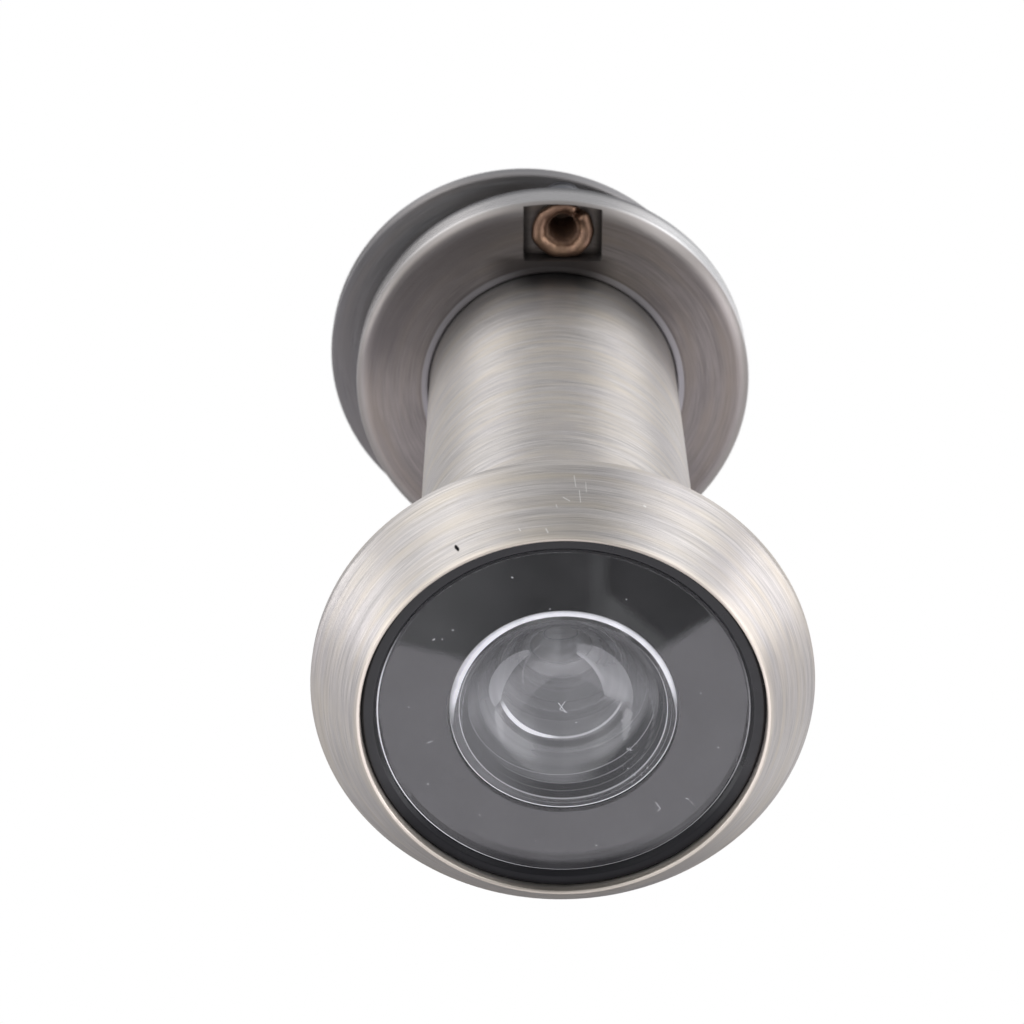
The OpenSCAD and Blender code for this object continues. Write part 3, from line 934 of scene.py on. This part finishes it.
# ---------------------------------------------------------------- inner half
def make_rose():
    """Rolled ring with a pocket in its front face and a hole for the rivet."""
    roll, small, step = 0.9, 0.15, ROSE_FRONT + 1.4
    profile = arc(8.08, ROSE_FRONT + small, small, 180, 270, 8)
    profile += arc(ROSE_R - roll, ROSE_FRONT + roll, roll, -90, 0, 20)
    profile += arc(ROSE_R - small, ROSE_BACK - small, small, 0, 90, 4)
    profile += [(7.0, ROSE_BACK), (7.0, step), (7.93, step)]
    rose = lathe("rose_turned", profile, NICKEL_ROSE)
    pocket = cutter_pocket(
        left=RIVET_AT[0] - POCKET_HALF, right=RIVET_AT[0] + POCKET_HALF,
        bottom=RIVET_AT[1] - 1.75, rim=ROSE_R - 0.2, front=ROSE_FRONT - 1,
        back=ROSE_FRONT + 1.35, corner=0.16)
    carve(rose, [pocket, cutter_rod(1.25, ROSE_FRONT, ROSE_BACK + 1)])
    place(rose, "rose", "inner_rose")


def make_cover():
    """Disc that hangs from its rivet."""
    front, back = span("cover_disc")
    profile = [(0.0, front)] + arc(COVER_R - 0.15, front + 0.15, 0.15, -90, 0, 4)
    profile += arc(COVER_R - 0.5, back - 0.5, 0.5, 0, 90, 8) + [(0.0, back)]
    cover = lathe("cover_pressed", profile, NICKEL_COVER, centre=COVER_AT)
    carve(cover, [cutter_rod(1.30, front - 1, back + 1)])
    place(cover, "cover", "cover_disc")


def make_pivot_collar():
    front, back = span("pivot_spacer")
    profile = rounded([(1.29, front, 0.05), (1.65, front, 0.10), (1.65, back, 0.10),
                       (1.29, back, 0.05)])
    place(lathe("pivot_collar", profile, STEEL, 96, RIVET_AT), "rose",
          "pivot_spacer")


def make_wave_washer():
    """Washer bent into three waves."""
    front, back = span("wave_washer")
    middle = (front + back) / 2
    front, back = middle - 0.08, middle + 0.08
    profile = rounded([(1.33, front, 0.03), (1.65, front, 0.03), (1.65, back, 0.03),
                       (1.33, back, 0.03)], 3)
    washer = lathe("wave_washer_pressed", profile, STEEL, 144, RIVET_AT,
                   wobble=lambda angle, i: (0.0, 0.085 * math.cos(3 * angle)))
    place(washer, "rose", "wave_washer")


def make_rivet():
    """Tubular rivet: rolled end in the rose's pocket, shank, and domed head behind the cover."""
    back = span("pivot_rivet")[1]
    cover_back = span("cover_disc")[1]
    profile = [(0.90, ROSE_FRONT + 1.9), (0.90, ROSE_FRONT + 1.2), (0.93, ROSE_FRONT + 0.9)]
    profile += arc(1.40, ROSE_FRONT + 0.70, 0.42, 200, 350, 18)
    profile += [(1.80, ROSE_FRONT + 0.95), (1.72, ROSE_FRONT + 1.15),
                (1.5, ROSE_FRONT + 1.34), (1.25, ROSE_FRONT + 1.34)]
    rolled = len(profile)
    profile += [(1.25, cover_back + 0.05), (1.57, cover_back + 0.05), (1.60, cover_back + 0.08)]
    profile += arc(1.30, cover_back + 0.15, 0.3, 0, 90, 8)
    profile += [(0.0, back), (0.0, cover_back - 0.9), (0.5, cover_back - 1.1),
                (0.90, cover_back - 1.3)]
    split = math.radians(38)

    def splay(angle, i):
        """Rolled end: wider than tall, torn open at the upper right, with a hammered edge."""
        if i >= rolled or i < 1:
            return (0.0, 0.0)
        radius, y = profile[i]
        weight = max(0.0, min(1.0, (ROSE_FRONT + 1.30 - y) / 0.6))
        outer = max(0.0, min(1.0, (radius - 0.9) / 0.9))
        from_split = (angle - split + math.pi) % (2 * math.pi) - math.pi
        tear = math.exp(-(from_split / 0.13) ** 2)
        beside = math.exp(-((from_split - 0.75) / 0.5) ** 2)
        across, upright = math.sin(angle) ** 2, math.cos(angle) ** 2
        rim = 1.95 * across + 1.84 * upright + 0.08 * math.cos(angle) - 1.82
        hole = 0.98 * across + 1.06 * upright + 0.20 * math.cos(angle) - 0.93
        out = weight * (outer * rim + (1 - outer) * hole + 0.035 * math.sin(3 * angle + 0.6)
                        + 0.02 * math.sin(7 * angle + 1.9) + 0.012 * math.sin(13 * angle))
        out -= weight * outer * (0.5 * tear - 0.05 * beside)
        along = weight * (0.62 * tear + 0.22 * beside + 0.05 * math.sin(2 * angle + 0.8)
                          + 0.02 * math.sin(5 * angle))
        return (out, along)

    rivet = lathe("rivet_tubular", profile, COPPER, 240, RIVET_AT, wobble=splay, sharp=50)
    place(rivet, "rose", "pivot_rivet")


def make_sleeve():
    """Screw sleeve with a true helical thread and a slot across its back."""
    front, back = span("inner_sleeve")
    crest, root, pitch = 6.95, 6.43, 1.0
    start, end = front + 0.5, ROSE_FRONT - 1.0
    bore_step = ROSE_FRONT + 1.2
    steps = int((end - start) / 0.08)
    threaded = [(root, start + (end - start) * k / steps) for k in range(steps + 1)]
    before = rounded([
        (5.6, bore_step, 0), (5.6, front + 0.62, 0), (6.1, front + 0.6, 0),
        (6.1, front, 0.05), (6.3, front, 0.1), (root, front + 0.3, 0.05)], 3)
    after = rounded([
        (root, ROSE_FRONT + 1.28, 0.05), (6.93, ROSE_FRONT + 1.3, 0.05),
        (6.93, ROSE_BACK + 0.02, 0), (8.2, ROSE_BACK + 0.02, 0.1), (8.2, back, 0.3),
        (6.1, back, 0.08), (6.1, bore_step, 0)], 5)

    def thread(angle, i):
        k = i - len(before)
        if k < 0 or k >= len(threaded):
            return (0.0, 0.0)
        y = threaded[k][1]
        turn = ((y - start) / pitch - angle / (2 * math.pi)) % 1.0
        ridge = max(0.0, min(1.0, (0.5 - abs(turn - 0.5)) / 0.36 - 0.12))
        fade = max(0.0, min(1.0, (y - start) / 0.8)) * max(0.0, min(1.0, (end - y) / 0.8))
        return ((crest - root) * ridge * fade, 0.0)

    sleeve = lathe("sleeve_threaded", before + threaded + after, NICKEL_SLEEVE, 144,
                   wobble=thread, sharp=40)
    slot = cutter_box(half_x=20, half_z=1.1, front=back - 0.95, back=back + 2, corner=0.05)
    carve(sleeve, [slot], 40)
    place(sleeve, "sleeve", "inner_sleeve")


def make_field_stop():
    front, back = span("field_stop")
    profile = rounded([(3.8, front + 0.1, 0.02), (3.9, front, 0.02), (EYEPIECE_R, front, 0.02),
                       (EYEPIECE_R, back, 0.02), (3.8, back, 0.02)], 3)
    place(lathe("field_stop_washer", profile, BLACK), "sleeve", "field_stop")


def make_eyepiece_lens():
    """Flat front, domed back."""
    front, back = span("eyepiece_lens")
    steps = [EYE_LENS_R * (1 - k / 28) for k in range(28)]
    dome = [(step, back - sag(18.9, step)) for step in steps]
    profile = [(0.0, front), (EYE_LENS_R, front)] + dome + [(0.0, back)]
    place(lathe("eyepiece_glass", profile, GLASS), "sleeve", "eyepiece_lens")


def make_eyepiece_ring():
    front, back = span("eyepiece_ring")
    profile = rounded([(4.95, front, 0.05), (EYEPIECE_R, front, 0.02), (EYEPIECE_R, back, 0.05),
                       (5.8, back, 0.1), (4.95, front + 0.27, 0.05)])
    place(lathe("eyepiece_ring_turned", profile, BLACK), "sleeve",
          "eyepiece_ring")


make_rose()
make_cover()
make_pivot_collar()
make_wave_washer()
make_rivet()
make_sleeve()
make_field_stop()
make_eyepiece_lens()
make_eyepiece_ring()

# the circlip keeps its CAD mesh
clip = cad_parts["rose_circlip"]
clip.data.materials.clear()
clip.data.materials.append(STEEL)


# ---------------------------------------------------------------- stage, light and camera
def make_floor():
    """White floor just under the viewer, seen only by the camera. Metres."""
    half, height = 1.2, -0.0131
    mat, nodes = new_material("pale_floor")
    nodes.finish(nodes.add("Emission", {"Color": (1, 1, 1), "Strength": 1.0}))
    bm = bmesh.new()
    corners = ((-half, -half), (half, -half), (half, half), (-half, half))
    bm.faces.new([bm.verts.new((x, y, height)) for x, y in corners])
    floor = link_mesh("floor", bm)
    floor.data.materials.append(mat)
    floor.visible_glossy = False
    floor.visible_transmission = False
    floor.visible_diffuse = False
    floor.visible_shadow = False


def blend(factor, a, b):
    return (1.0 - factor) * a + factor * b


def make_world():
    """Brightness of the surroundings by direction; the camera itself sees plain white."""
    world = bpy.data.worlds.new("studio")
    scene.world = world
    world.use_nodes = True
    nodes = Nodes(world.node_tree, "OutputWorld")
    dx, dy, dz = nodes.separate(nodes.add("TexCoord", output="Generated"))
    sideways = abs(dx)
    front = dy.smooth(-0.15, -0.45)
    # the view to the front, laid flat: slopes across and up
    forward = (dy * -1.0).max(0.05)
    across = dx / forward
    up = dz / forward
    # far edges of the white table in front: two straight lines that meet
    left_edge = -0.5841 - across * 0.275
    right_edge = -0.6201 + across * 0.73
    over = (up - left_edge.max(right_edge)).smooth(-0.0015, 0.0015)
    room = front * over * sideways.smooth(0.62, 0.42)
    table = front * (1.0 - over)

    # soft white surround, dimmer below and along a strip overhead
    low_right = sideways.smooth(0.30, 0.55) * sideways.smooth(0.84, 0.70) * dx.smooth(0.0, 0.3)
    under = 0.14 + sideways.smooth(0.06, 0.80) * 0.60 + low_right * 0.22
    overhead = 0.77 - dy.smooth(0.15, -0.20) * sideways.smooth(0.5, 0.2) * 0.22
    overhead = overhead + sideways.smooth(0.20, 0.55) * 0.96
    overhead = overhead - sideways.smooth(0.66, 0.92) * 0.80
    overhead = overhead * (1.0 + dx.smooth(0.4, 0.8) * 0.13)
    level = blend(dz.smooth(0.10, 0.45), 0.66, overhead)
    level = blend(dz.smooth(0.05, -0.25), level, under)
    back_right = dx.smooth(0.25, 0.45) * dy.smooth(0.45, 0.75) * dz.smooth(0.15, 0.0)
    level = level + back_right * 0.22

    # the room beyond the table: wall, upright post, cupboard and a slanting shelf
    wall = 0.37 + across.smooth(0.012, -0.036) * 0.36
    post = across.smooth(0.0325, 0.0340) * across.smooth(0.0402, 0.0392) * 0.22
    cupboard = across.smooth(0.0392, 0.0402) * 0.05
    below_shelf = -0.5451 - (across - 0.0396) * 0.9386 - up
    shelf = below_shelf.smooth(-0.0008, 0.0008) * (
        across.smooth(0.0385, 0.0410) * up.smooth(-0.50, -0.53)) * 0.46
    level = blend(room, level, wall + post - cupboard + shelf)
    level = blend(table, level, 0.38 + up.smooth(-1.5, -0.85) * 1.30)

    # two upright softboxes, left and right
    softbox = sideways.smooth(0.90, 0.915) * (dz.smooth(-0.14, -0.12) * dz.smooth(0.34, 0.32))
    softbox = softbox * dy.smooth(0.0, -0.05)
    level = level + softbox * 2.4
    camera_ray = nodes.add("LightPath", output="Is Camera Ray")
    level = level * (1.0 - camera_ray) + camera_ray
    tint = nodes.mix(table, (0.97, 0.975, 1.0), (0.985, 0.96, 1.02))
    colour = nodes.mix(camera_ray, tint, (1.0, 1.0, 1.0))
    nodes.finish(nodes.add("Background", {"Color": colour, "Strength": level}))


def make_camera():
    """In front of the viewer and above it, looking down at it; in focus on the window."""
    lens = bpy.data.cameras.new("camera")
    camera = bpy.data.objects.new("camera", lens)
    scene.collection.objects.link(camera)
    camera.location = (-0.00261, -0.12034, 0.07120)
    camera.rotation_euler = (math.radians(63.07), 0, 0)
    lens.sensor_width = 36
    lens.lens = 94.9
    lens.dof.use_dof = True
    lens.dof.focus_object = window
    lens.dof.aperture_fstop = 150.0
    lens.clip_start = 0.005
    lens.clip_end = 10
    scene.camera = camera


make_floor()
make_world()
make_camera()
scene.view_settings.view_transform = "Standard"
scene.cycles.max_bounces = 24
scene.cycles.transmission_bounces = 24
scene.cycles.glossy_bounces = 8
